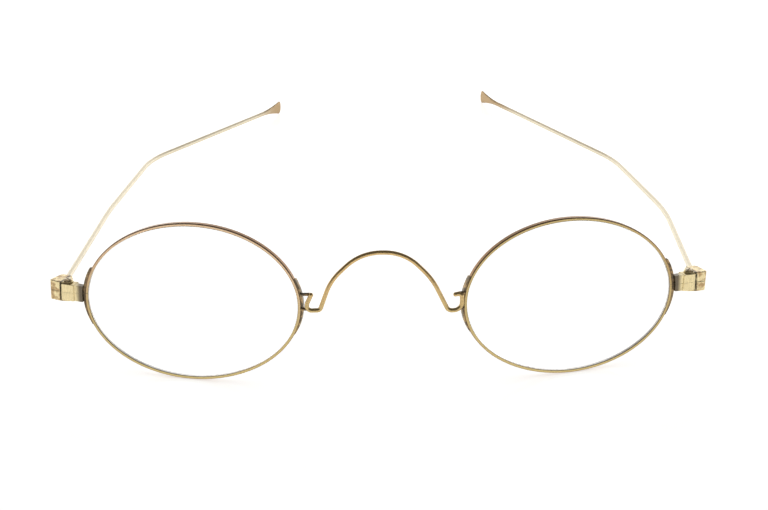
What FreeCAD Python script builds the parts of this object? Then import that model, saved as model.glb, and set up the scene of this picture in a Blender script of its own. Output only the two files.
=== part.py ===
"""Oval wire spectacles: two rims with lenses, a bent bridge, and two temples on screw hinges.

Millimetres and degrees. +Z is up, +Y runs from the lenses back to the temple tips, and the
wearer's left is at +X. The origin is on the surface the spectacles stand on, below the middle
of their outline. Every piece is drawn for the wearer's left, and mirrored for the right.

Three frames are used. The lens frame has its origin at a lens's centre, X towards the temple
and Y through the lens. The front frame has its origin midway between the lens centres. The
hinge frame has its origin on a joint screw, with X along the end piece.
"""
import FreeCAD, Part
import math
import os
from FreeCAD import Placement, Rotation, Vector

# Lenses and rims
lens_half_width = 18.42           # to the middle of the rim's wire
lens_half_height = 13.5
lens_centre_x = 31.35
lens_wrap = 14.0                  # each lens's outer end lies further back
lens_tilt = 3.4                   # each lens's outer end lies lower
front_lean = 4.0                  # the front's top leans back
rim_thickness = 0.50
rim_depth = 1.05
rim_round = 0.18
rim_inner_round = 0.05
groove_depth = 0.20
groove_half_width = 0.20
rim_slit = 0.06
lens_fit = 0.03                   # room between the lens's bevel and the groove
lens_thickness = 1.20             # at the centre
lens_surface_radius = 655.0

# Straps: crescents soldered round the rim, given by the oval's angle at each end
strap_depth = 0.78
solder = 0.01                     # thickness of the film of solder between two pieces
temporal_strap_ends = (24.0, -17.5)
temporal_strap_thickness = (0.34, 0.38, 0.10)    # upper end, middle, lower end
nasal_strap_ends = (162.5, 203.0)
nasal_strap_thickness = (0.24, 0.35, 0.08)

# Bridge
bridge_wire = 0.74                # diameter
bridge_y = -5.4                   # just in front of the nasal straps
bridge_crest = 9.92              # above the lens centres
left_bridge = (
    (3.5, bridge_crest),
    (8.1, 5.25),
    (10.75, -0.26),
    (13.0, -0.26),
    (13.0, 2.75),
    (11.9, 2.5),
)
left_bridge_radii = (7.8, 12.0, 0.9, 1.4, 0.6)
right_bridge = (
    (3.6, bridge_crest),
    (8.5, 5.15),
    (10.25, 0.12),
    (12.3, 0.08),
    (12.42, 1.15),
    (11.68, 2.8),
)
right_bridge_radii = (8.2, 9.0, 0.62, 0.8, 1.2)
stem_width = 0.55
stem_y = -4.95
stem_outer = 13.5                 # inside the rim's room, which trims it
left_stems = ((12.5, 2.6), (12.3, 0.0))         # where each starts, and its height
right_stems = ((11.8, 2.75), (11.9, 0.2))

# End pieces, with x from the joint screw's axis
screw_x = 52.6                    # in the front frame
screw_y = 5.9
screw_z = 0.25
hinge_wrap = 22.0                 # the end piece turns further back than the lens
lug_inner = -1.70
lug_outer = 0.72
lug_front = -1.25
lug_back = 0.62
lug_half_height = 1.45
lug_round = 0.16
lug_knuckle = 0.50                # rounding of the corner that turns inside the butt
neck_half_height = 1.40
neck_plan = ((-3.7, -0.98), (-1.3, -1.05), (-1.3, 0.30), (-3.7, -0.10))  # trimmed to the rim and strap
lug_seam = 0.02

# Temple butts
cheek_inner = 0.78
cheek_outer = 2.85
cheek_back = 2.20
cheek_rounds = (0.30, 0.35, 0.75, 0.40)          # the plan's corners, from the inner front round
leaf_radius = 0.95
leaf_gap = 0.03
leaf_thickness = 0.24
butt_round = 0.10
score_depth = 0.07                # the line scored round the butt at mid-height
score_start = 1.03
score_back = 1.2
socket_depth = 1.1

# Joint screws
screw_radius = 0.42
hole_radius = 0.45
screw_head_radius = 0.68
screw_head_height = 0.28
screw_head_round = 0.12
screw_slot_width = 0.17
screw_slot_depth = 0.14
screw_slot_turn = 35.0
screw_tip = 0.10                  # the shank's end shows below the butt
screw_tip_round = 0.06

# Temples
temple_wire = 0.95                # diameter
wire_x = 2.30                     # where the wire leaves the butt, in the hinge frame
wire_y = 1.85
wire_splay = 4.0                  # outward turn of the wire's first run, from straight back
paddle_length = 8.5
paddle_half_height = 1.5
# Sections of the paddle: the part of its length left, then half its height and thickness
paddle_blade = ((0.70, 0.62, 0.42), (0.38, 0.98, 0.31))
paddle_half_thickness = 0.24      # where the blade is highest
paddle_high = 0.08                # part of the length left there
paddle_worn = ((0.044, 0.96), (0.016, 0.88), (0.0, 0.74))    # and the share of the full size
paddle_face = 0.20                # half the distance between the hammered flat faces
paddle_face_start = 0.62          # part of the length left where they begin

# Each temple's runs and the turns between them, bent by hand, so no two are alike
left_runs = (40.0, 39.1, 63.6)
left_turns = (-9.4, -15.9)
left_radii = (85.0, 42.0)
left_rest = 0.0                   # fully open
left_hinge_tilt = 2.8             # the folded wire rises, and passes over the other one
right_runs = (43.4, 38.2, 56.9)
right_turns = (-3.2, -20.8)
right_radii = (130.0, 34.0)
right_rest = 8.0                  # stands a little closed
right_hinge_tilt = -1.2

origin_y = 70.30                  # from the lens centres back to the origin

near = 0.01                       # edges are told apart to within this
far = 100.0                       # past every side of the spectacles
room_depth = 3.0                  # half the depth of the room kept clear for a rim

X_AXIS = Vector(1, 0, 0)
Y_AXIS = Vector(0, 1, 0)
Z_AXIS = Vector(0, 0, 1)
ORIGIN = Vector(0, 0, 0)

butt_half_height = lug_half_height + leaf_gap + leaf_thickness
inner_half_width = lens_half_width - rim_thickness / 2
inner_half_height = lens_half_height - rim_thickness / 2
outer_half_width = lens_half_width + rim_thickness / 2
outer_half_height = lens_half_height + rim_thickness / 2


# ---- frames ----

lens_turn = Rotation(Z_AXIS, lens_wrap) * Rotation(Y_AXIS, lens_tilt)
lens_place = Placement(Vector(lens_centre_x, 0, 0), lens_turn)
lean = Rotation(X_AXIS, -front_lean)


def hinge_frame(tilt, rest=0.0):
    """The hinge frame, leaning sideways by the tilt and closed by the rest angle."""
    turn = Rotation(Z_AXIS, hinge_wrap) * Rotation(Y_AXIS, tilt) * Rotation(Z_AXIS, rest)
    return Placement(Vector(screw_x, screw_y, screw_z), turn)


def rim_drop():
    """How far the rim's lowest edge lies below the lens centre."""
    turn = lean * lens_turn
    across = turn.multVec(X_AXIS).z * (outer_half_width - rim_round)
    upward = turn.multVec(Z_AXIS).z * (outer_half_height - rim_round)
    through = abs(turn.multVec(Y_AXIS).z) * (rim_depth / 2 - rim_round)
    return math.hypot(across, upward) + through + rim_round


stand = Placement(Vector(0, -origin_y, rim_drop()), lean)


def placed(shape, placement):
    moved = shape.copy()
    moved.Placement = placement.multiply(moved.Placement)
    return moved


# ---- shapes ----

def oval(half_width, half_height, y):
    end = Vector(half_width, y, 0)
    top = Vector(0, y, half_height)
    return Part.Wire(Part.Ellipse(end, top, Vector(0, y, 0)).toShape())


def oval_prism(half_width, half_height, half_depth):
    face = Part.Face(oval(half_width, half_height, -half_depth))
    return face.extrude(Vector(0, 2 * half_depth, 0))


def bevel(half_width, half_height, rise, half_depth):
    """An oval disc with a V-shaped edge that rises at 45 degrees to its middle."""
    wires = []
    for y in (-half_depth, 0, half_depth):
        out = rise - abs(y)
        wires.append(oval(half_width + out, half_height + out, y))
    front = Part.makeLoft(wires[:2], True, True)
    back = Part.makeLoft(wires[1:], True, True)
    return front.fuse(back)


def box(x0, x1, y0, y1, z0, z1):
    return Part.makeBox(x1 - x0, y1 - y0, z1 - z0, Vector(x0, y0, z0))


def plate(points, z0, z1):
    """A polygon in the XY plane, extruded from z0 to z1."""
    corners = [Vector(x, y, z0) for x, y in points]
    outline = Part.makePolygon(corners + corners[:1])
    return Part.Face(outline).extrude(Vector(0, 0, z1 - z0))


def upright(radius, z0, z1):
    return Part.makeCylinder(radius, z1 - z0, Vector(0, 0, z0))


def bent_path(points, radii):
    """Straight runs through the points, joined by arcs tangent to them."""
    edges = []
    start = points[0]
    for before, corner, after, radius in zip(points, points[1:], points[2:], radii):
        back = (before - corner).normalize()
        ahead = (after - corner).normalize()
        half_turn = (math.pi - back.getAngle(ahead)) / 2
        cut = radius * math.tan(half_turn)
        inward = (back + ahead).normalize()
        arc_start = corner + back * cut
        arc_end = corner + ahead * cut
        arc_middle = corner + inward * (radius / math.cos(half_turn) - radius)
        edges.append(Part.LineSegment(start, arc_start).toShape())
        edges.append(Part.Arc(arc_start, arc_middle, arc_end).toShape())
        start = arc_end
    edges.append(Part.LineSegment(start, points[-1]).toShape())
    return Part.Wire(edges)


def tube(path, radius):
    first = path.Edges[0]
    start = first.valueAt(first.FirstParameter)
    along = first.tangentAt(first.FirstParameter)
    profile = Part.Wire(Part.makeCircle(radius, start, along))
    return path.makePipeShell([profile], True, False)


def vertical_edges(shape):
    found = []
    for edge in shape.Edges:
        low, high = edge.Vertexes[0].Point, edge.Vertexes[-1].Point
        if abs(low.z - high.z) > 1 and math.hypot(low.x - high.x, low.y - high.y) < near:
            found.append(edge)
    return found


def level_edges(shape, z):
    return [e for e in shape.Edges if max(abs(e.BoundBox.ZMin - z), abs(e.BoundBox.ZMax - z)) < near]


# ---- rim, lens and straps, in the lens frame ----

def whole_rim():
    ring = oval_prism(outer_half_width, outer_half_height, rim_depth / 2)
    ring = ring.cut(oval_prism(inner_half_width, inner_half_height, rim_depth))
    outside = [e for e in ring.Edges if e.BoundBox.XMax > lens_half_width and e.BoundBox.YLength < near]
    ring = ring.makeFillet(rim_round, outside)
    inside = [e for e in ring.Edges if e.BoundBox.XMax < lens_half_width and e.BoundBox.YLength < near]
    ring = ring.makeFillet(rim_inner_round, inside)
    return ring.cut(bevel(inner_half_width, inner_half_height, groove_depth, 2 * groove_depth))


def lens():
    disc = oval_prism(inner_half_width - 2 * lens_fit, inner_half_height - 2 * lens_fit, lens_thickness)
    edge = bevel(inner_half_width, inner_half_height, groove_depth - lens_fit, groove_half_width)
    glass = disc.fuse(edge)
    for side in (-1, 1):
        centre = Vector(0, side * (lens_surface_radius - lens_thickness / 2), 0)
        ball = Part.makeSphere(lens_surface_radius, centre)
        glass = glass.common(ball)
    return glass


def oval_point(angle, out):
    """A point the given distance outside the rim, and the way out of the rim there."""
    turn = math.radians(angle)
    point = Vector(outer_half_width * math.cos(turn), 0, outer_half_height * math.sin(turn))
    away = Vector(outer_half_height * math.cos(turn), 0, outer_half_width * math.sin(turn)).normalize()
    return point + away * out


def crescent(ends, thickness, half_depth, inset=0.0):
    """A strap's outline, extruded: the rim's curve inside and one arc outside."""
    angles = (ends[0], (ends[0] + ends[1]) / 2, ends[1])
    outer = [oval_point(angle, out) for angle, out in zip(angles, thickness)]
    inner = [oval_point(angle, solder - inset) for angle in angles]
    edges = [
        Part.Arc(outer[0], outer[1], outer[2]).toShape(),
        Part.LineSegment(outer[2], inner[2]).toShape(),
        Part.Arc(inner[2], inner[1], inner[0]).toShape(),
        Part.LineSegment(inner[0], outer[0]).toShape(),
    ]
    face = Part.Face(Part.Wire(edges))
    face.translate(Vector(0, -half_depth, 0))
    return face.extrude(Vector(0, 2 * half_depth, 0))


def strap(ends, thickness):
    blank = crescent(ends, thickness, strap_depth / 2, inset=rim_thickness / 2)
    clear_of_rim = oval_prism(outer_half_width + solder, outer_half_height + solder, rim_depth)
    return blank.cut(clear_of_rim)


# ---- bridge, in the front frame ----

def front_points(pairs, side):
    return [Vector(side * x, bridge_y, z) for x, z in pairs]


def bridge(radius):
    """One wire bent by hand from curl to curl, so its two halves differ a little."""
    right = front_points(right_bridge, -1)
    left = front_points(left_bridge, 1)
    path = bent_path(right[::-1] + left, right_bridge_radii[::-1] + left_bridge_radii)
    wire = tube(path, radius)
    for end in (right[-1], left[-1]):
        wire = wire.fuse(Part.makeSphere(radius, end))
    return wire.removeSplitter()


def bridge_stems(starts):
    """The two stubs that hold a curl to its strap, in the front frame."""
    bars = []
    for x, z in starts:
        bars.append(Part.makeCylinder(stem_width / 2, stem_outer - x, Vector(x, stem_y, z), X_AXIS))
    return bars[0].fuse(bars[1])


# ---- hinge, in the hinge frame ----

def end_piece():
    block = box(lug_inner, lug_outer, lug_front, lug_back, -lug_half_height, lug_half_height)
    corners = vertical_edges(block)
    turning = [e for e in corners if e.Vertexes[0].X > 0 and e.Vertexes[0].Y > 0]
    block = block.makeFillet(lug_knuckle, turning)
    front_edges = [e for e in vertical_edges(block) if e.Vertexes[0].Y < lug_front + near]
    block = block.makeFillet(lug_round, front_edges)
    rims = level_edges(block, lug_half_height) + level_edges(block, -lug_half_height)
    block = block.makeFillet(lug_round / 2, rims)
    return block.fuse(plate(neck_plan, -neck_half_height, neck_half_height))


def leaf_tangent(corner, side):
    """Where a line from the corner touches the leaf's round end."""
    bearing = math.atan2(corner.y, corner.x) + side * math.acos(leaf_radius / corner.Length)
    return Vector(leaf_radius * math.cos(bearing), leaf_radius * math.sin(bearing), 0)


def butt():
    """A cheek outside the end piece, with one leaf over it and one under it for the screw."""
    corners = [
        Vector(cheek_inner, lug_front, 0),
        Vector(cheek_outer, lug_front, 0),
        Vector(cheek_outer, cheek_back, 0),
        Vector(cheek_inner, cheek_back, 0),
    ]
    leaf_front = leaf_tangent(corners[0], -1)
    leaf_back = leaf_tangent(corners[-1], 1)
    leaf_end = Part.Arc(leaf_back, Vector(-leaf_radius, 0, 0), leaf_front).toShape()
    outline = Part.Wire(bent_path([leaf_front] + corners + [leaf_back], cheek_rounds).Edges + [leaf_end])
    outline.translate(Vector(0, 0, -butt_half_height))
    block = Part.Face(outline).extrude(Vector(0, 0, 2 * butt_half_height))
    rims = level_edges(block, butt_half_height) + level_edges(block, -butt_half_height)
    block = block.makeFillet(butt_round, rims)
    fork = lug_half_height + leaf_gap
    block = block.cut(box(-far, cheek_inner, -far, far, -fork, fork))
    block = block.cut(upright(hole_radius, -far, far))
    return block.cut(score_line())


def score_line():
    """The cutter of the fine line round the cheek's front, outer side and back."""
    outside = box(score_start, far, -far, far, -score_depth / 2, score_depth / 2)
    kept = box(0, cheek_outer - score_depth, lug_front + score_depth, score_back, -1, 1)
    return outside.cut(kept)


def joint_screw():
    head_base = butt_half_height + leaf_gap
    head_top = head_base + screw_head_height
    shank = upright(screw_radius, -butt_half_height - screw_tip, head_base)
    head = upright(screw_head_radius, head_base, head_top)
    head = head.makeFillet(screw_head_round, level_edges(head, head_top))
    half_slot = screw_slot_width / 2
    slot = box(-far, far, -half_slot, half_slot, head_top - screw_slot_depth, far)
    slot.rotate(ORIGIN, Z_AXIS, screw_slot_turn)
    tip = level_edges(shank, -butt_half_height - screw_tip)
    return shank.makeFillet(screw_tip_round, tip).fuse(head).cut(slot)


# ---- temples, in the hinge frame ----

def temple_points(runs, turns):
    """The wire's corners in a level plane, from its socket in the butt to the paddle's end."""
    heading = -hinge_wrap - wire_splay
    point = Vector(wire_x, wire_y, 0)
    along = Rotation(Z_AXIS, heading).multVec(Y_AXIS)
    points = [point - along * socket_depth * 0.5]
    for run, turn in zip(runs, turns + (0,)):
        point = point + along * run
        points.append(point)
        heading -= turn
        along = Rotation(Z_AXIS, heading).multVec(Y_AXIS)
    return points


def droop(points, hinge):
    """The slope that brings the paddle's lower edge to the surface."""
    tip = hinge.multVec(points[-1])
    lowest = paddle_half_height * math.cos(math.radians(front_lean))
    level = stand.multVec(tip).z - lowest
    return math.degrees(math.asin(level / (points[-1].y - wire_y)))


def sloped(points, hinge):
    """The move that slopes a level temple down from where it leaves the butt."""
    slope = Rotation(X_AXIS, -droop(points, hinge))
    pivot = Vector(wire_x, wire_y, 0)
    return Placement(pivot - slope.multVec(pivot), slope)


def flat_oval(y, half_height, half_thickness):
    top = Vector(0, y, half_height)
    flank = Vector(half_thickness, y, 0)
    return Part.Wire(Part.Ellipse(top, flank, Vector(0, y, 0)).toShape())


def paddle(end, along):
    """The wire's end, drawn out and hammered flat, in its own frame and then placed."""
    wires = [flat_oval(-paddle_length, temple_wire / 2, temple_wire / 2)]
    for left, half_height, half_thickness in paddle_blade:
        wires.append(flat_oval(-left * paddle_length, half_height, half_thickness))
    wires.append(flat_oval(-paddle_high * paddle_length, paddle_half_height, paddle_half_thickness))
    worn = [wires[-1]]
    for left, share in paddle_worn:
        half_height = share * paddle_half_height
        worn.append(flat_oval(-left * paddle_length, half_height, share * paddle_half_thickness))
    blade = Part.makeLoft(wires, True, False).fuse(Part.makeLoft(worn, True, True))
    for side in (-1, 1):
        low, high = sorted((side * paddle_face, side * far))
        blade = blade.cut(box(low, high, -paddle_face_start * paddle_length, far, -far, far))
    turn = math.degrees(math.atan2(-along.x, along.y))
    return placed(blade, Placement(end, Rotation(Z_AXIS, turn)))


def temple(runs, turns, radii, hinge):
    """The wire and its paddle, drawn level and then sloped down from the butt."""
    points = temple_points(runs, turns)
    along = (points[-1] - points[-2]).normalize()
    neck = points[-1] - along * paddle_length
    path = bent_path(points[:-1] + [neck], radii)
    shape = tube(path, temple_wire / 2).fuse(paddle(points[-1], along))
    return placed(shape.removeSplitter(), sloped(points, hinge))


def socket(runs, turns, hinge):
    """The cutter of the blind hole that the wire is brazed into."""
    points = temple_points(runs, turns)
    along = (points[1] - points[0]).normalize()
    hole = Part.makeCylinder(temple_wire / 2 + solder, 3, points[0] - along * solder, along)
    return placed(hole, sloped(points, hinge))


# ---- assembly ----

def write(name, shape, side=1):
    """Stand a piece drawn in the front frame on its surface and write it."""
    if side < 0:
        shape = shape.mirror(ORIGIN, X_AXIS)
    piece = placed(shape, stand)
    if not piece.isValid() or len(piece.Solids) != 1:
        raise ValueError(name + " isn't one sound solid")
    piece.Solids[0].exportStep("parts/" + name + ".step")


def halves(shape, gap):
    """The parts of a shape above and below a level cut at the joint's mid-height."""
    above = box(0, far, -far, far, screw_z + gap / 2, far)
    below = box(0, far, -far, far, -far, screw_z - gap / 2)
    return shape.common(above), shape.common(below)


os.makedirs("parts", exist_ok=True)

rim = placed(whole_rim(), lens_place)
rim = rim.cut(box(lens_centre_x, far, -far, far, screw_z - rim_slit / 2, screw_z + rim_slit / 2))
glass = placed(lens(), lens_place)
temporal = placed(strap(temporal_strap_ends, temporal_strap_thickness), lens_place)
nasal = placed(strap(nasal_strap_ends, nasal_strap_thickness), lens_place)
rim_room = oval_prism(outer_half_width + solder, outer_half_height + solder, room_depth)
rim_room = placed(rim_room, lens_place)
strap_edge = [thickness + solder for thickness in temporal_strap_thickness]
strap_room = crescent(temporal_strap_ends, strap_edge, room_depth, inset=rim_thickness / 2)
keep_clear = rim_room.fuse(placed(strap_room, lens_place))
lug_blank = end_piece().cut(upright(screw_radius + solder, -far, far))
strap_upper, strap_lower = halves(temporal, rim_slit)
bridge_room = bridge(bridge_wire / 2 + solder)

write("bridge", bridge(bridge_wire / 2))
sides = {
    "left": (1, left_stems, left_hinge_tilt, left_rest, (left_runs, left_turns, left_radii)),
    "right": (-1, right_stems, right_hinge_tilt, right_rest, (right_runs, right_turns, right_radii)),
}
for name, (side, starts, tilt, rest, bends) in sides.items():
    room = bridge_room if side > 0 else bridge_room.mirror(ORIGIN, X_AXIS)
    stems = bridge_stems(starts).cut(room).cut(rim_room)
    write("eyewire_" + name, rim, side)
    write("lens_" + name, glass, side)
    write("nasal_strap_" + name, nasal.fuse(stems), side)
    write("strap_upper_" + name, strap_upper, side)
    write("strap_lower_" + name, strap_lower, side)
    lug_upper, lug_lower = halves(placed(lug_blank, hinge_frame(tilt)).cut(keep_clear), lug_seam)
    write("endpiece_upper_" + name, lug_upper, side)
    write("endpiece_lower_" + name, lug_lower, side)
    write("joint_screw_" + name, placed(joint_screw(), hinge_frame(tilt)), side)
    hinge = hinge_frame(tilt, rest)
    block = butt().cut(socket(bends[0], bends[1], hinge))
    write("temple_butt_" + name, placed(block, hinge), side)
    write("temple_wire_" + name, placed(temple(*bends, hinge), hinge), side)
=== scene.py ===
"""Looks for the oval wire spectacles: metals, glass, floor, light and camera."""
import math

import bmesh
import bpy
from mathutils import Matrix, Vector


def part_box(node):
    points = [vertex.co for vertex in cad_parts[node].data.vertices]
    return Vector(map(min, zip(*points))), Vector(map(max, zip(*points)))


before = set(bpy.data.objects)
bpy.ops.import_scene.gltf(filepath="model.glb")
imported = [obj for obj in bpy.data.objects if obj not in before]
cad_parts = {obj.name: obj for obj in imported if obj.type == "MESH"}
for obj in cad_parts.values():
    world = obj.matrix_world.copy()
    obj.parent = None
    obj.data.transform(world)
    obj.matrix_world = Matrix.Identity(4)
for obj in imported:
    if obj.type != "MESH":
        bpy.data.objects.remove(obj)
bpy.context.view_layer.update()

SIDES = {"right": -1.0, "left": 1.0}     # the sign of X on each of the wearer's sides
MM = 1000.0                              # coordinates are in metres, and patterns are in millimetres

# The hinges, in millimetres and degrees
HINGE = (52.6, -64.4)                    # where each joint screw stands, from the middle
HINGE_TURN = 22.0                        # how far the end pieces turn back
HINGE_GAP = 0.75                         # from the screw's axis out to the gap beside the butt
HINGE_SHADE = (0.10, 0.34)               # from the gap to where its painted shade starts to fade, and ends

# Linear colours
GOLD = (0.74, 0.51, 0.23, 1)
PALE_GOLD = (0.92, 0.82, 0.61, 1)
ROSE_GOLD = (0.86, 0.62, 0.40, 1)
UMBER_GOLD = (0.66, 0.50, 0.23, 1)
OLIVE_GOLD = (0.72, 0.57, 0.26, 1)
BRIGHT_GOLD = (0.98, 0.82, 0.47, 1)
TAN_GOLD = (0.56, 0.38, 0.19, 1)
GREY_GOLD = (0.17, 0.14, 0.10, 1)
TARNISH = (0.11, 0.075, 0.038, 1)
# dark tarnish for the pits, also the colour of the painted shade in corners and along the hinge gaps
DARK_TARNISH_AND_SHADE = (0.030, 0.020, 0.011, 1)
# the painted shade along the rims' outer edges and beside their lenses
RIM_SHADE = (0.30, 0.17, 0.085, 1)
RIM_TOPS = {"right": ROSE_GOLD, "left": UMBER_GOLD}
CLEAR_GLASS = (0.992, 0.996, 0.992, 1)
WIPED_GLASS = (0.980, 0.986, 0.978, 1)
DUST = (0.75, 0.74, 0.70, 1)

# Features per millimetre in each of the metals' patterns
PATCHES = 0.42
MOTTLE = 2.6
SPECKS = 11.0
DENTS = 0.95

# How far each pattern mixes its colour in
LINE_DEPTH = 0.30
# worn edges, which also carry painted highlights
WEAR_AND_HIGHLIGHT_DEPTH = 0.55
PIT_DEPTH = 0.55
# how strong the painted shade is in the corner between each rim and its lens
INNER_SHADE = 0.75

# The relief: how high the bumps are, in millimetres, and how strongly they show
RELIEF = 0.02
RELIEF_STRENGTH = 0.35
DENT_HEIGHT = 2.2
PADDLE_START = (58.0, 66.0)              # where the temple's flattened end begins

# Samples per pixel for the nodes that feel for nearby surfaces
HOLLOW_SAMPLES = 6
EDGE_SAMPLES = 4

GLASS_IOR = 1.50
FLOOR_HALF_WIDTH = 4.0                   # metres
FLOOR_TONES = ((0.93, 0.93, 0.925, 1), (0.95, 0.95, 0.945, 1))
FLOOR_GLOW = (1.0, 1.0, 0.99, 1)
FLOOR_GLOW_STRENGTH = 0.62
FLOOR_POLISH = 0.10

# The room: its brightness falls from the walls to the ceiling
ROOM_COLOUR = (1.0, 0.995, 0.985, 1)
WALL_BRIGHTNESS = 1.35
CEILING_BRIGHTNESS = 0.10
CEILING_START = 0.0                      # as a share of straight up
CEILING_FULL = 0.42
CEILING_SLOPE = -0.25                    # the ceiling comes lower behind the camera

SOFTBOX_PLACE = (0.0, 0.10, 1.2)
SOFTBOX_AIM = (0.0, 0.0, 0.0)
SOFTBOX_SIZE = 1.8
SOFTBOX_POWER = 6.5
SOFTBOX_COLOUR = (1.0, 0.99, 0.975)

CAMERA_PLACE = (-0.01007, -0.33924, 0.13586)
CAMERA_AIM = (0.00241, -0.01942, 0.0)
CAMERA_LENS = 83.2                       # millimetres, on a sensor 36 mm wide


# ---- node helpers ----

class Tree:
    """A material's node tree, with short calls to add and link nodes."""

    def __init__(self, name):
        self.material = bpy.data.materials.new(name)
        self.material.use_nodes = True
        self.nodes = self.material.node_tree.nodes
        self.links = self.material.node_tree.links
        self.nodes.clear()
        self.output = self.nodes.new("ShaderNodeOutputMaterial")

    def add(self, kind, inputs=None, **settings):
        made = self.nodes.new("ShaderNode" + kind)
        for key, value in settings.items():
            setattr(made, key, value)
        for key, value in (inputs or {}).items():
            self.put(value, made.inputs[key])
        return made

    def put(self, value, socket):
        if isinstance(value, bpy.types.NodeSocket):
            self.links.new(value, socket)
        else:
            socket.default_value = value

    def math(self, operation, a, b=0.0, clamp=False):
        made = self.add("Math", {0: a, 1: b}, operation=operation, use_clamp=clamp)
        return made.outputs[0]

    def plus(self, a, b, clamp=False):
        return self.math("ADD", a, b, clamp)

    def times(self, a, b, clamp=False):
        return self.math("MULTIPLY", a, b, clamp)

    def less(self, a, b):
        return self.math("SUBTRACT", a, b)

    def vector(self, operation, a, b=(0.0, 0.0, 0.0)):
        return self.add("VectorMath", {0: a, 1: b}, operation=operation).outputs["Vector"]

    def dot(self, a, b):
        return self.add("VectorMath", {0: a, 1: b}, operation="DOT_PRODUCT").outputs["Value"]

    def ramp(self, value, low, high):
        """0 below low, 1 above high, and smooth between them."""
        made = self.add("MapRange", {"Value": value, "From Min": low, "From Max": high})
        made.interpolation_type = "SMOOTHSTEP"
        return made.outputs["Result"]

    def mix(self, factor, a, b):
        made = self.add("Mix", data_type="RGBA")
        self.put(factor, made.inputs[0])
        self.put(a, made.inputs[6])
        self.put(b, made.inputs[7])
        return made.outputs[2]

    def noise(self, vector, scale, detail=3.0, roughness=0.55, distortion=0.0):
        made = self.add("TexNoise", {
            "Vector": vector,
            "Scale": scale,
            "Detail": detail,
            "Roughness": roughness,
            "Distortion": distortion,
        })
        return made.outputs["Fac"]

    def position(self):
        """Object coordinates in millimetres."""
        place = self.add("TexCoord").outputs["Object"]
        return self.add("VectorMath", {0: place, 3: MM}, operation="SCALE").outputs[0]

    def normal(self):
        return self.add("NewGeometry").outputs["Normal"]

    def stretched(self, vector, scale):
        return self.add("Mapping", {"Vector": vector, "Scale": scale}).outputs["Vector"]

    def parts(self, vector):
        return self.add("SeparateXYZ", {"Vector": vector}).outputs

    def finish(self, **inputs):
        """Close the tree with a Principled shader; inputs have _ where the socket's name has a space."""
        shader = self.add("BsdfPrincipled", {key.replace("_", " "): value for key, value in inputs.items()})
        self.links.new(shader.outputs[0], self.output.inputs["Surface"])
        return self.material


# ---- metals ----

def from_lens(tree, place, side):
    """The way from a lens's middle, with the lens's half size, in millimetres."""
    low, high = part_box("lens_" + side)
    middle = (low + high) / 2 * MM
    half = (high - low) / 2 * MM
    return tree.vector("SUBTRACT", place, tuple(middle)), half


def round_the_lens(tree, place, side):
    """Coordinates that run round the oval rim: angle, depth and distance from its middle."""
    offset, half = from_lens(tree, place, side)
    x, y, z = tree.parts(offset)[:3]
    across = tree.math("DIVIDE", x, half.x)
    upward = tree.math("DIVIDE", z, half.z)
    angle = tree.math("ARCTAN2", upward, across)
    far = tree.math("SQRT", tree.plus(tree.times(x, x), tree.times(z, z)))
    return tree.add("CombineXYZ", {"X": tree.times(angle, 2.0), "Y": y, "Z": far}).outputs[0]


def joint_shade_mask(tree, place, side):
    """Painted shade in a narrow upright band along the gap between the end piece and the butt."""
    x, y = tree.parts(place)[:2]
    turn = math.radians(HINGE_TURN)
    out = tree.times(tree.less(tree.times(x, side), HINGE[0]), math.cos(turn))
    out = tree.plus(out, tree.times(tree.less(y, HINGE[1]), math.sin(turn)))
    from_gap = tree.math("ABSOLUTE", tree.less(out, HINGE_GAP))
    return tree.less(1.0, tree.ramp(from_gap, *HINGE_SHADE))


def rim_shade_mask(tree, place, side):
    """Painted shade along the rim's outer edge, and in the corner between the rim and its lens."""
    offset, half = from_lens(tree, place, side)
    outward = tree.vector("MULTIPLY", offset, (1 / half.x ** 2, 0, 1 / half.z ** 2))
    outward = tree.vector("NORMALIZE", outward)
    facing = tree.dot(outward, tree.normal())
    outer = tree.ramp(facing, 0.10, 0.55)
    inner = tree.ramp(tree.times(facing, -1.0), 0.10, 0.60)
    return tree.math("MAXIMUM", outer, tree.times(inner, INNER_SHADE))


def tarnish_film(tree, patch, mottle, tarnish):
    """The brown film: a higher tarnish starts it sooner and makes it denser."""
    film = tree.plus(tree.times(patch, 0.6), tree.times(mottle, 0.4))
    film = tree.ramp(film, 0.66 - 0.26 * tarnish, 0.86 - 0.20 * tarnish)
    return tree.times(film, 0.35 + 0.5 * tarnish)


def crevice_dirt_and_shade(tree, mottle, reach):
    """Dirt and painted shade in the corners, as far as reach millimetres from the next surface."""
    hollow = tree.add("AmbientOcclusion", {"Distance": reach / MM}, samples=HOLLOW_SAMPLES).outputs["AO"]
    dirt_and_shade = tree.less(1.0, tree.ramp(hollow, 0.25, 0.80))
    return tree.times(dirt_and_shade, tree.plus(0.55, tree.times(mottle, 0.6)), clamp=True)


def worn_and_highlit_edges(tree, rounded, dirt_and_shade, speck):
    """Where handling has rubbed the edges bright; the same bright edges also stand for painted highlights."""
    flat = tree.dot(rounded, tree.normal())
    wear_and_highlight = tree.less(1.0, tree.ramp(flat, 0.86, 0.985))
    wear_and_highlight = tree.times(wear_and_highlight, tree.less(1.0, dirt_and_shade))
    return tree.times(wear_and_highlight, tree.ramp(speck, 0.30, 0.55))


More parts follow.
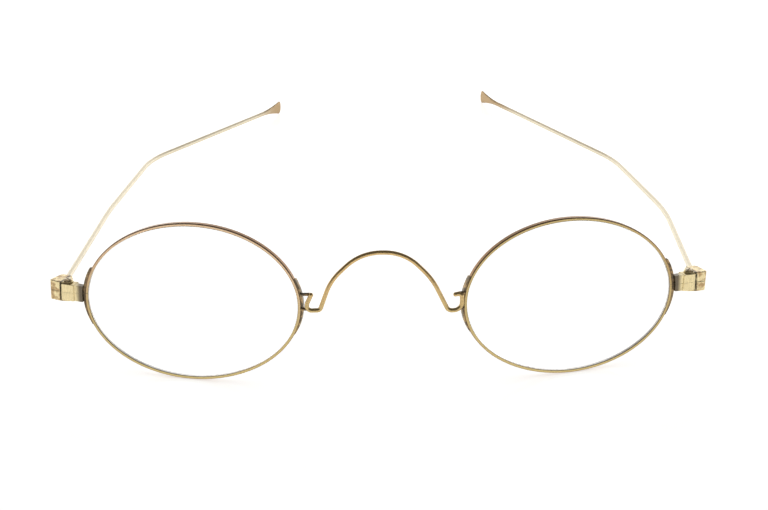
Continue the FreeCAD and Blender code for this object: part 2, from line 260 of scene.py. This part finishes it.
def metal(name, base, second, blend, grain, tarnish=0.5, polish=0.22, hammered=None, edge=0.10,
          crevice=0.35, metallic=0.88, joint_side=0.0, lens_side=None):
    """Old gold-filled metal.

    base and second are its colours, and blend(tree, place) mixes them. grain(tree, place) gives
    the coordinates that the drawing lines follow. tarnish is how far the brown film has spread,
    and polish is the roughness of the clean metal. edge is the rounding of its corners and crevice
    is how far the dirt and painted shade reach out of them, in millimetres. hammered(tree, place) adds to its
    relief.
    joint_side is given to the pieces beside a joint's gap, to paint shade along it: -1 on the wearer's right,
    1 on the left.
    lens_side is given to the rims, to paint shade along their edges.
    """
    tree = Tree(name)
    place = tree.position()
    patch = tree.noise(place, PATCHES, 4.0, 0.6, 0.4)
    mottle = tree.noise(place, MOTTLE, 5.0, 0.65)
    speck = tree.noise(place, SPECKS, 3.0, 0.6)
    lines = tree.noise(grain(tree, place), 1.0, 4.0, 0.7)
    film = tarnish_film(tree, patch, mottle, tarnish)
    dirt_and_shade = crevice_dirt_and_shade(tree, mottle, crevice)
    rounded = tree.add("Bevel", {"Radius": edge / MM}, samples=EDGE_SAMPLES).outputs["Normal"]
    wear_and_highlight = worn_and_highlit_edges(tree, rounded, dirt_and_shade, speck)
    pits = tree.ramp(speck, 0.66, 0.74)

    colour = tree.mix(blend(tree, place), base, second)
    colour = tree.mix(tree.times(tree.ramp(lines, 0.35, 0.72), LINE_DEPTH), colour, TARNISH)
    colour = tree.mix(film, colour, TARNISH)
    # dirt and painted shade in the corners, from how hidden each point is
    colour = tree.mix(dirt_and_shade, colour, DARK_TARNISH_AND_SHADE)
    if lens_side:
        # painted shade along the rim's outer edge and beside its lens
        painted_shade = rim_shade_mask(tree, place, lens_side)
        colour = tree.mix(tree.times(painted_shade, tree.ramp(mottle, 0.10, 0.50)), colour, RIM_SHADE)
    if joint_side:
        # painted shade along the gap beside the butt
        painted_shade = joint_shade_mask(tree, place, joint_side)
        colour = tree.mix(tree.times(painted_shade, tree.ramp(mottle, 0.25, 0.60)), colour, DARK_TARNISH_AND_SHADE)
    # worn edges, also painted as highlights
    colour = tree.mix(tree.times(wear_and_highlight, WEAR_AND_HIGHLIGHT_DEPTH), colour, BRIGHT_GOLD)
    colour = tree.mix(tree.times(pits, PIT_DEPTH), colour, DARK_TARNISH_AND_SHADE)

    rough = tree.plus(polish, tree.times(mottle, 0.12))
    rough = tree.plus(rough, tree.times(film, 0.25))
    rough = tree.plus(rough, tree.times(dirt_and_shade, 0.35), clamp=True)

    height = tree.plus(tree.times(lines, 0.6), tree.times(speck, 0.3))
    height = tree.less(height, tree.times(pits, 0.5))
    if hammered is not None:
        height = tree.plus(height, hammered(tree, place))
    bump = tree.add("Bump", {
        "Strength": RELIEF_STRENGTH,
        "Distance": RELIEF / MM,
        "Height": height,
        "Normal": rounded,
    })
    return tree.finish(
        Base_Color=colour,
        Roughness=rough,
        Metallic=tree.times(metallic, tree.less(1.0, tree.times(dirt_and_shade, 0.5))),
        Normal=bump.outputs["Normal"],
    )


def by_height(low, high):
    """Blend that rises with height above the floor, in millimetres."""
    def blend(tree, place):
        return tree.ramp(tree.parts(place)[2], low, high)
    return blend


def by_depth(low, high):
    """Blend that rises from the lenses towards the temple tips."""
    def blend(tree, place):
        return tree.ramp(tree.parts(place)[1], low, high)
    return blend


def by_distance_out(low, high):
    """Blend that rises away from the nose, to both sides."""
    def blend(tree, place):
        return tree.ramp(tree.math("ABSOLUTE", tree.parts(place)[0]), low, high)
    return blend


def by_patches(scale, low=0.42, high=0.62):
    """Blend in soft patches, with scale of them per millimetre."""
    def blend(tree, place):
        return tree.ramp(tree.noise(place, scale, 3.0), low, high)
    return blend


def lines_along(x, y, z):
    """Fine drawing lines: a small number stretches them along that axis."""
    def grain(tree, place):
        return tree.stretched(place, (x, y, z))
    return grain


def lines_round_lens(side):
    def grain(tree, place):
        return tree.stretched(round_the_lens(tree, place, side), (0.8, 12.0, 12.0))
    return grain


def paddle_dents(tree, place):
    """Soft hammer marks, only where the wire's end is beaten flat."""
    dents = tree.add("TexVoronoi", {"Vector": place, "Scale": DENTS, "Smoothness": 0.8}, feature="SMOOTH_F1")
    near_tip = tree.ramp(tree.parts(place)[1], *PADDLE_START)
    return tree.times(tree.times(dents.outputs["Distance"], DENT_HEIGHT), near_tip)


def paint(node, material):
    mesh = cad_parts[node].data
    mesh.materials.clear()
    mesh.materials.append(material)


# ---- glass ----

def lens_glass(side):
    """Clear polished glass with faint wiping smears and dust."""
    tree = Tree("lens_glass_" + side)
    place = tree.position()
    smear = tree.noise(tree.stretched(place, (0.10, 0.10, 0.45)), 1.0, 4.0, 0.55, 1.2)
    specks = tree.ramp(tree.noise(place, 3.2, 2.0, 0.5), 0.735, 0.755)
    haze = tree.times(tree.ramp(smear, 0.50, 0.75), 0.035)
    tint = tree.mix(tree.ramp(smear, 0.35, 0.8), CLEAR_GLASS, WIPED_GLASS)
    return tree.finish(
        Base_Color=tree.mix(tree.times(specks, 0.25), tint, DUST),
        Roughness=tree.plus(haze, tree.times(specks, 0.25)),
        IOR=GLASS_IOR,
        Transmission_Weight=1.0,
    )


# ---- dress the CAD nodes ----

temple_metal = metal(
    "temple_metal", PALE_GOLD, TAN_GOLD, by_depth(56.0, 68.0), lines_along(9.0, 0.35, 9.0),
    tarnish=0.05, polish=0.24, hammered=paddle_dents, metallic=0.65,
)
bridge_metal = metal(
    "bridge_metal", UMBER_GOLD, GOLD, by_height(11.0, 20.0), lines_along(1.2, 7.0, 7.0),
    tarnish=0.45, polish=0.16,
)
strap_metal = metal(
    "strap_metal", GREY_GOLD, TAN_GOLD, by_patches(1.4), lines_along(7.0, 7.0, 1.0),
    tarnish=0.80, polish=0.28,
)
screw_metal = metal(
    "screw_metal", PALE_GOLD, TAN_GOLD, by_patches(1.6), lines_along(10.0, 10.0, 2.0),
    tarnish=0.45, polish=0.26,
)

paint("bridge", bridge_metal)
for side, sign in SIDES.items():
    rim_metal = metal(
        "rim_metal_" + side, OLIVE_GOLD, RIM_TOPS[side], by_height(9.0, 21.0), lines_round_lens(side),
        tarnish=0.30, polish=0.16, edge=0.06, crevice=0.12, lens_side=side,
    )
    neck_metal = metal(
        "neck_metal_" + side, GREY_GOLD, BRIGHT_GOLD, by_distance_out(50.3, 51.3), lines_along(9.0, 9.0, 1.0),
        tarnish=0.40, polish=0.22, edge=0.05, crevice=0.12, joint_side=sign,
    )
    butt_metal = metal(
        "butt_metal_" + side, BRIGHT_GOLD, TAN_GOLD, by_patches(1.1), lines_along(9.0, 9.0, 1.2),
        tarnish=0.45, polish=0.18, edge=0.22, crevice=0.25, joint_side=sign,
    )
    paint("eyewire_" + side, rim_metal)
    paint("lens_" + side, lens_glass(side))
    paint("nasal_strap_" + side, strap_metal)
    paint("joint_screw_" + side, screw_metal)
    paint("temple_butt_" + side, butt_metal)
    paint("temple_wire_" + side, temple_metal)
    for level in ("upper_", "lower_"):
        paint("strap_" + level + side, strap_metal)
        paint("endpiece_" + level + side, neck_metal)
    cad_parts["lens_" + side].visible_shadow = False


# ---- floor ----

def floor_material():
    """A plain white glossy table top that glows a little, with a very fine orange peel."""
    tree = Tree("floor_white")
    place = tree.position()
    peel = tree.noise(place, 0.35, 3.0)
    return tree.finish(
        Base_Color=tree.mix(tree.noise(place, 0.02, 2.0), *FLOOR_TONES),
        Roughness=tree.plus(FLOOR_POLISH, tree.times(peel, 0.05)),
        Emission_Color=FLOOR_GLOW,
        Emission_Strength=FLOOR_GLOW_STRENGTH,
    )


def make_floor():
    shape = bmesh.new()
    bmesh.ops.create_grid(shape, x_segments=8, y_segments=8, size=FLOOR_HALF_WIDTH)
    mesh = bpy.data.meshes.new("floor")
    shape.to_mesh(mesh)
    shape.free()
    mesh.materials.append(floor_material())
    floor = bpy.data.objects.new("floor", mesh)
    bpy.context.scene.collection.objects.link(floor)


make_floor()


# ---- light ----

def make_world():
    """Bright walls low down all round, and a dim ceiling that comes lower behind the camera."""
    world = bpy.data.worlds.new("studio")
    bpy.context.scene.world = world
    world.use_nodes = True
    nodes = world.node_tree.nodes
    links = world.node_tree.links
    nodes.clear()
    place = nodes.new("ShaderNodeTexCoord")
    split = nodes.new("ShaderNodeSeparateXYZ")
    links.new(place.outputs["Generated"], split.inputs[0])
    rise = nodes.new("ShaderNodeMath")
    rise.operation = "MULTIPLY_ADD"
    links.new(split.outputs["Y"], rise.inputs[0])
    rise.inputs[1].default_value = CEILING_SLOPE
    links.new(split.outputs["Z"], rise.inputs[2])
    ceiling = nodes.new("ShaderNodeMapRange")
    ceiling.interpolation_type = "SMOOTHSTEP"
    ceiling.inputs["From Min"].default_value = CEILING_START
    ceiling.inputs["From Max"].default_value = CEILING_FULL
    ceiling.inputs["To Min"].default_value = WALL_BRIGHTNESS
    ceiling.inputs["To Max"].default_value = CEILING_BRIGHTNESS
    links.new(rise.outputs[0], ceiling.inputs["Value"])
    background = nodes.new("ShaderNodeBackground")
    background.inputs["Color"].default_value = ROOM_COLOUR
    links.new(ceiling.outputs["Result"], background.inputs["Strength"])
    output = nodes.new("ShaderNodeOutputWorld")
    links.new(background.outputs[0], output.inputs["Surface"])


def aimed(thing, place, aim):
    """Put a lamp or a camera at place, looking at aim."""
    thing.location = place
    thing.rotation_euler = (Vector(aim) - Vector(place)).to_track_quat("-Z", "Y").to_euler()
    bpy.context.scene.collection.objects.link(thing)
    return thing


def make_softbox():
    """A large soft panel that lights the scene but isn't itself mirrored in the metal."""
    light = bpy.data.lights.new("top_softbox", "AREA")
    light.shape = "SQUARE"
    light.size = SOFTBOX_SIZE
    light.energy = SOFTBOX_POWER
    light.color = SOFTBOX_COLOUR
    lamp = aimed(bpy.data.objects.new("top_softbox", light), SOFTBOX_PLACE, SOFTBOX_AIM)
    lamp.visible_glossy = False


make_world()
make_softbox()


# ---- camera ----

def make_camera():
    data = bpy.data.cameras.new("camera")
    data.lens = CAMERA_LENS
    data.sensor_width = 36.0
    data.clip_start = 0.01
    data.clip_end = 20.0
    bpy.context.scene.camera = aimed(bpy.data.objects.new("camera", data), CAMERA_PLACE, CAMERA_AIM)


make_camera()
bpy.context.scene.view_settings.view_transform = "Standard"
